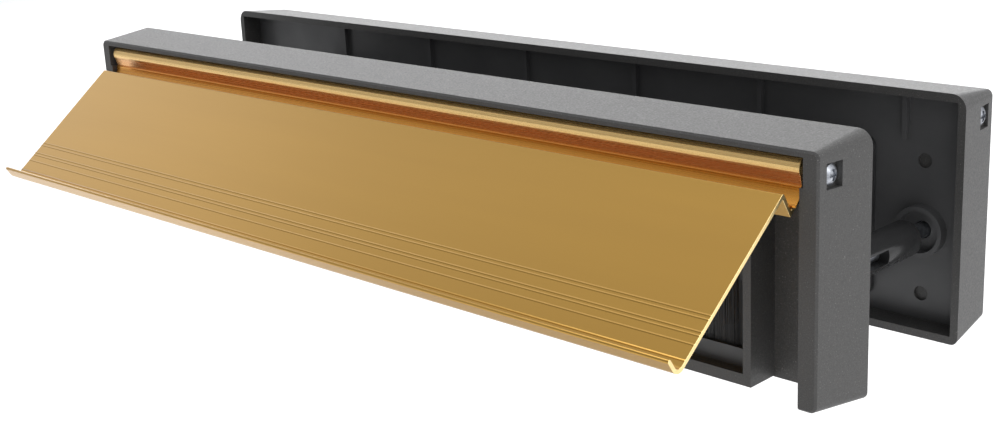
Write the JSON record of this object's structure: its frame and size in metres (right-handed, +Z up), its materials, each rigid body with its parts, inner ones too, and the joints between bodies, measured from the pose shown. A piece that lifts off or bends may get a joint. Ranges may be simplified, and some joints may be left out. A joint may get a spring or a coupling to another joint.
{
  "type": "telescopic letter plate",
  "caption": "Letter plate for a door, in two black halves joined by screws and a telescopic sleeve, with a hinged gold flap and rail on each side and a brush-sealed slot.",
  "frame": {"origin": "midway between the two screw pillars, in the plane where the street-side frame meets the door", "axes": "+X along the plate, to the right as seen from the street; +Y through the door towards the house; +Z up"},
  "size_m": [0.306, 0.1305, 0.0682],
  "materials": {
    "black_plastic": "fine moulded texture",
    "sleeve_plastic": "smooth moulded",
    "gold_flap": "satin gold anodised",
    "gold_rail": "bright gold anodised",
    "zinc_screw": "zinc plated",
    "spring_steel": "drawn wire",
    "holder_plastic": "semi gloss",
    "bristle_nylon": "upright bristles"
  },
  "bodies": {
    "street_half": {"outer_frame": "black_plastic", "outer_rail": "gold_rail", "outer_rail_screw_left": "zinc_screw", "outer_rail_screw_right": "zinc_screw", "outer_flap_spring_left": "spring_steel", "outer_flap_spring_right": "spring_steel", "lower_brush_holder": "holder_plastic", "upper_brush_holder": "holder_plastic", "lower_bristles": "bristle_nylon", "upper_bristles": "bristle_nylon", "outer_sleeve": "sleeve_plastic"},
    "street_flap": {"outer_flap": "gold_flap"},
    "house_half": {"inner_frame": "black_plastic", "inner_sleeve": "sleeve_plastic", "inner_rail": "gold_rail", "inner_rail_screw_left": "zinc_screw", "inner_rail_screw_right": "zinc_screw", "inner_flap_spring_left": "spring_steel", "inner_flap_spring_right": "spring_steel", "fixing_screw_left": "zinc_screw", "fixing_screw_right": "zinc_screw"},
    "house_flap": {"inner_flap": "gold_flap"}
  },
  "joints": [
    {"name": "outer_flap_hinge", "type": "hinge", "parent": "street_half", "child": "street_flap", "pos_m": [0, -0.0132, 0.03135], "axis": [-1, 0, 0], "range_deg": [-51.8, 0], "stiffness_Nm_per_rad": 0.05, "springref_deg": -71.62, "deforming": ["outer_flap_spring_left", "outer_flap_spring_right"]},
    {"name": "telescope_slide", "type": "slide", "parent": "street_half", "child": "house_half", "axis": [0, 1, 0], "range_m": [-0.004, 0.032]},
    {"name": "inner_flap_hinge", "type": "hinge", "parent": "house_half", "child": "house_flap", "pos_m": [0, 0.0572, 0.03135], "axis": [1, 0, 0], "range_deg": [0, 51.8], "stiffness_Nm_per_rad": 0.05, "springref_deg": -20.05, "deforming": ["inner_flap_spring_left", "inner_flap_spring_right"]}
  ]
}
